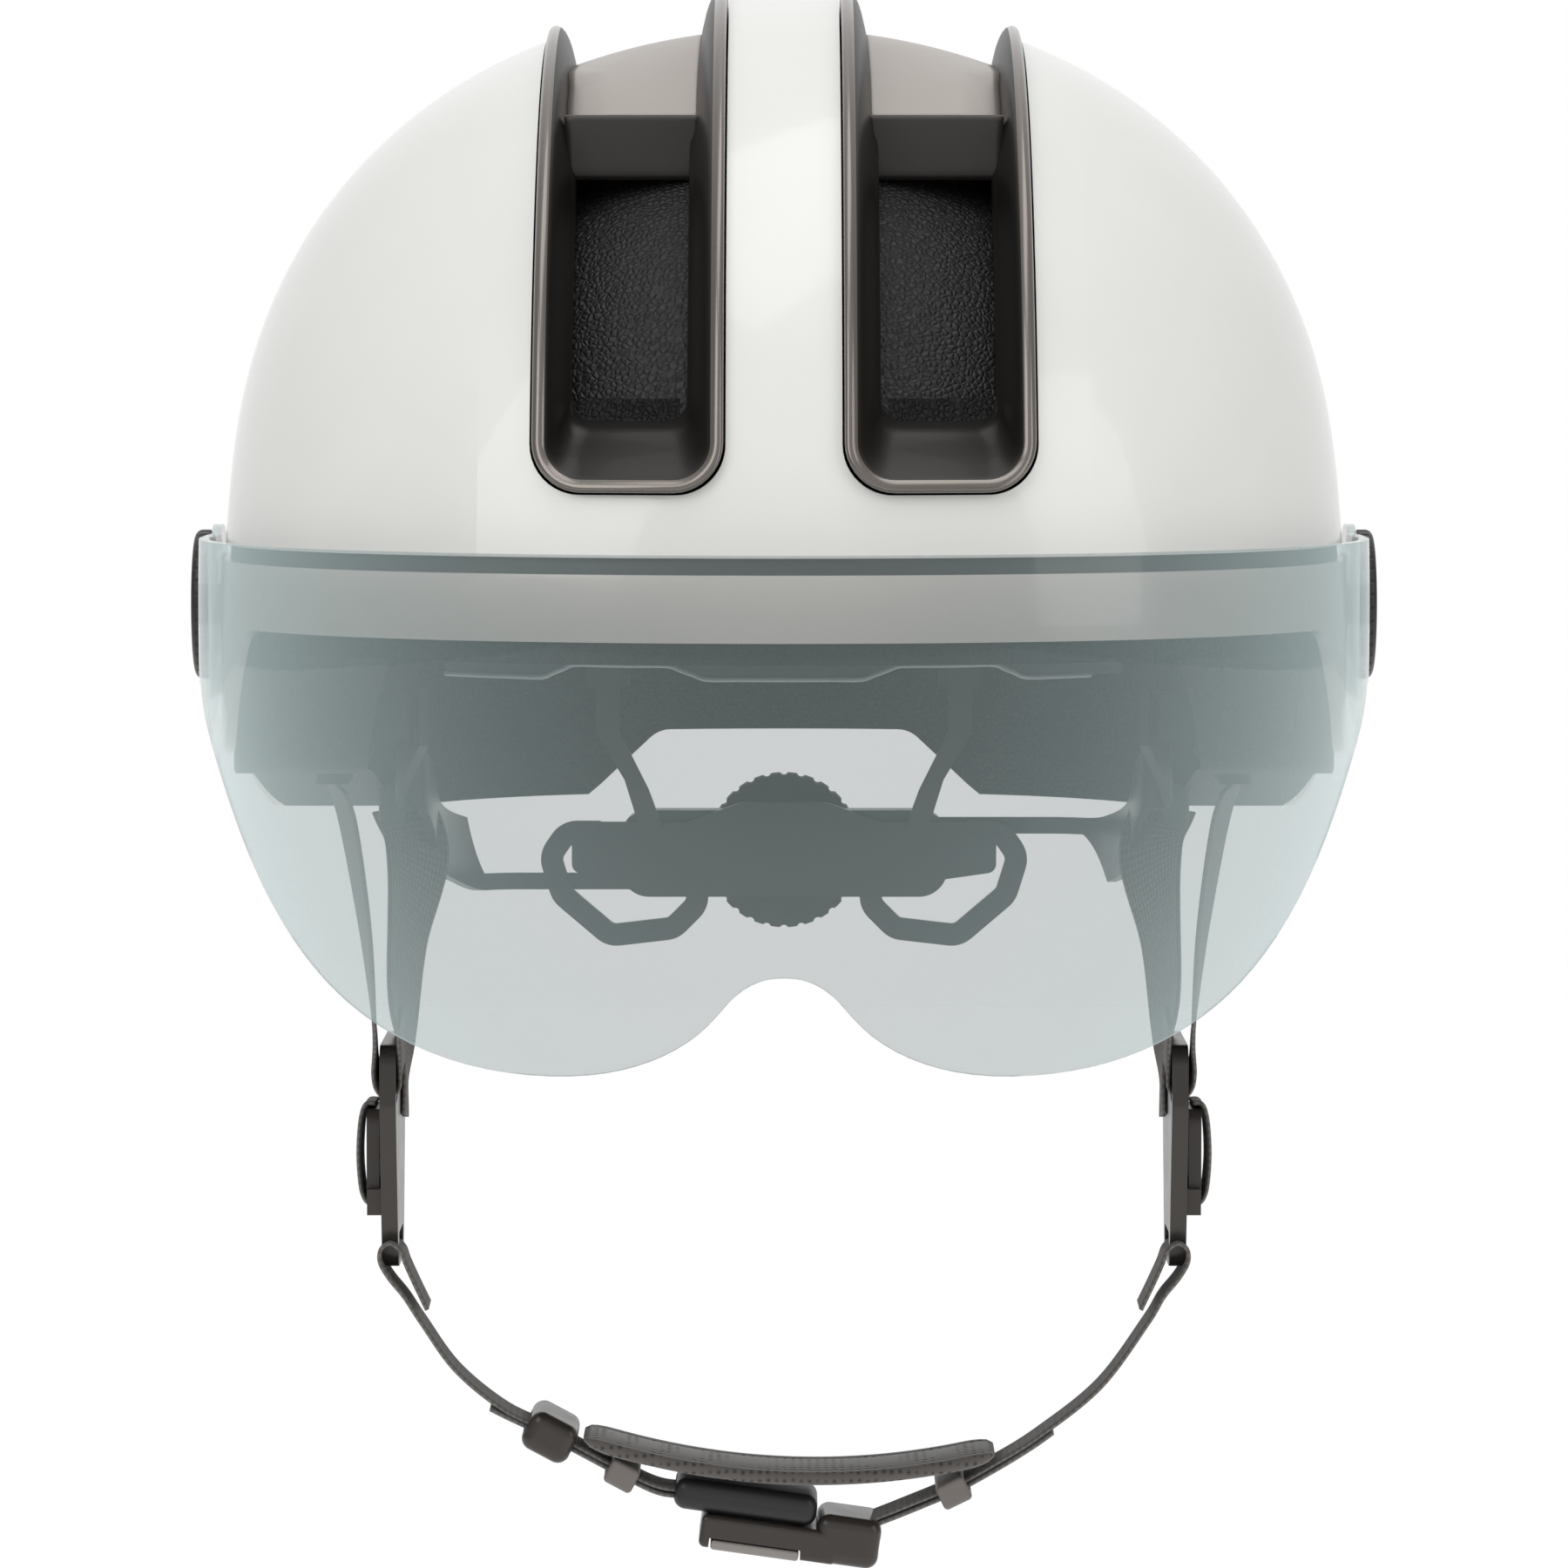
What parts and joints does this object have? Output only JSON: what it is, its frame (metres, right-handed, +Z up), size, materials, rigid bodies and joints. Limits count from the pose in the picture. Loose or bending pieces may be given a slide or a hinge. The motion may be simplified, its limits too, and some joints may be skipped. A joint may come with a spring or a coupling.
{
  "type": "bicycle helmet",
  "caption": "Urban bicycle helmet with a gloss shell, framed crown vents, a clear flip visor on side knobs, a dial retention cradle and buckled chin straps.",
  "frame": {"origin": "middle of the head opening, on the visor pivot axis, at the head mount", "axes": "+Z up out of the crown, -Y the way the wearer looks, +X to the wearer's left"},
  "size_m": [0.2284, 0.2828, 0.3064],
  "materials": {
    "shell_white": "gloss",
    "trim_dark": "satin",
    "band_taupe": "gloss",
    "foam_black": "beaded foam",
    "trim_taupe": "satin metallic",
    "visor_smoke": "clear, light smoke",
    "insert_nylon": "satin",
    "washer_clear": "clear",
    "knob_black": "satin",
    "retention_black": "satin",
    "dial_rubber": "matt",
    "pad_fabric": "knit",
    "pad_mesh": "perforated",
    "hook_nylon": "hook tape",
    "webbing": "woven",
    "divider_taupe": "satin metallic",
    "pin_steel": "brushed",
    "loop_rubber": "matt",
    "buckle_black": "satin",
    "magnet": "plated"
  },
  "bodies": {
    "helmet": {"outer_shell": "shell_white", "seam_strip": "trim_dark", "lower_shell": "band_taupe", "eps_liner": "foam_black", "vent_frame_left": "trim_taupe", "vent_frame_right": "trim_taupe", "vent_bridge_left": "trim_taupe", "vent_bridge_right": "trim_taupe", "pivot_insert_left": "insert_nylon", "pivot_insert_right": "insert_nylon", "visor_washer_left": "washer_clear", "visor_washer_right": "washer_clear", "yoke_anchor_left": "retention_black", "yoke_anchor_right": "retention_black", "temple_anchor_left": "retention_black", "temple_anchor_right": "retention_black", "front_headband": "retention_black", "brow_pad": "pad_fabric", "crown_pad": "pad_fabric", "top_pad_left": "pad_fabric", "top_pad_right": "pad_fabric", "side_pad_left": "pad_fabric", "side_pad_right": "pad_fabric", "hook_dots": "hook_nylon", "front_strap_anchor_left": "retention_black", "front_strap_anchor_right": "retention_black", "rear_strap_anchor_left": "retention_black", "rear_strap_anchor_right": "retention_black", "front_strap_left": "webbing", "front_strap_right": "webbing", "rear_strap_left": "webbing", "rear_strap_right": "webbing", "strap_divider_left": "divider_taupe", "strap_divider_right": "divider_taupe", "divider_pin_left": "pin_steel", "divider_pin_right": "pin_steel", "chin_strap_left": "webbing", "chin_strap_right": "webbing", "chin_pad": "pad_mesh", "strap_loop_left": "loop_rubber", "strap_loop_right": "loop_rubber", "buckle_body": "buckle_black", "buckle_tongue": "divider_taupe", "buckle_magnet_upper": "magnet", "buckle_magnet_lower": "magnet"},
    "visor": {"visor": "visor_smoke"},
    "visor_knob_left": {"visor_knob_left": "knob_black"},
    "visor_knob_right": {"visor_knob_right": "knob_black"},
    "rear_cradle": {"rear_cradle": "retention_black", "dial_housing": "retention_black"},
    "side_arm_left": {"side_arm_left": "retention_black"},
    "side_arm_right": {"side_arm_right": "retention_black"},
    "dial": {"dial_knob": "dial_rubber", "dial_pinion": "retention_black"},
    "divider_lever_left": {"divider_lever_left": "divider_taupe"},
    "divider_lever_right": {"divider_lever_right": "divider_taupe"},
    "buckle_release": {"buckle_release": "divider_taupe"},
    "strap_slider": {"strap_slider": "divider_taupe"}
  },
  "joints": [
    {"name": "visor_flip", "type": "hinge", "parent": "helmet", "child": "visor", "pos_m": [0, 0, 0], "axis": [-1, 0, 0], "range_deg": [0, 65]},
    {"name": "visor_knob_left_turn", "type": "hinge", "parent": "helmet", "child": "visor_knob_left", "pos_m": [0.112, 0, 0], "axis": [1, 0, 0], "range_deg": [0, 90]},
    {"name": "visor_knob_right_turn", "type": "hinge", "parent": "helmet", "child": "visor_knob_right", "pos_m": [-0.112, 0, 0], "axis": [-1, 0, 0], "range_deg": [0, 90]},
    {"name": "cradle_height", "type": "slide", "parent": "helmet", "child": "rear_cradle", "axis": [0, 0, -1], "range_m": [0, 0.012]},
    {"name": "dial_turn", "type": "hinge", "parent": "rear_cradle", "child": "dial", "pos_m": [0, 0.11, -0.0556], "axis": [0, -1, 0], "range_deg": [0, 130]},
    {"name": "side_arm_left_slide", "type": "slide", "parent": "rear_cradle", "child": "side_arm_left", "axis": [-1, 0, 0], "range_m": [0, 0.0079]},
    {"name": "side_arm_right_slide", "type": "slide", "parent": "rear_cradle", "child": "side_arm_right", "axis": [1, 0, 0], "range_m": [0, 0.0079]},
    {"name": "divider_lever_left_open", "type": "hinge", "parent": "helmet", "child": "divider_lever_left", "pos_m": [0.08, 0.005, -0.116], "axis": [0, 1, 0], "range_deg": [0, 70]},
    {"name": "divider_lever_right_open", "type": "hinge", "parent": "helmet", "child": "divider_lever_right", "pos_m": [-0.08, 0.005, -0.116], "axis": [0, -1, 0], "range_deg": [0, 70]},
    {"name": "buckle_release_pull", "type": "slide", "parent": "helmet", "child": "buckle_release", "axis": [0, -1, 0], "range_m": [0, 0.004], "stiffness_N_per_m": 150, "springref_m": -0.002},
    {"name": "strap_slider_slide", "type": "slide", "parent": "helmet", "child": "strap_slider", "axis": [-0.8824, 0, 0.4706], "range_m": [0, 0.002]}
  ],
  "couplings": [
    {"joint": "dial_turn", "follows": "side_arm_left_slide", "rad_per_m": 285.71},
    {"joint": "side_arm_right_slide", "follows": "side_arm_left_slide", "ratio": 1}
  ]
}
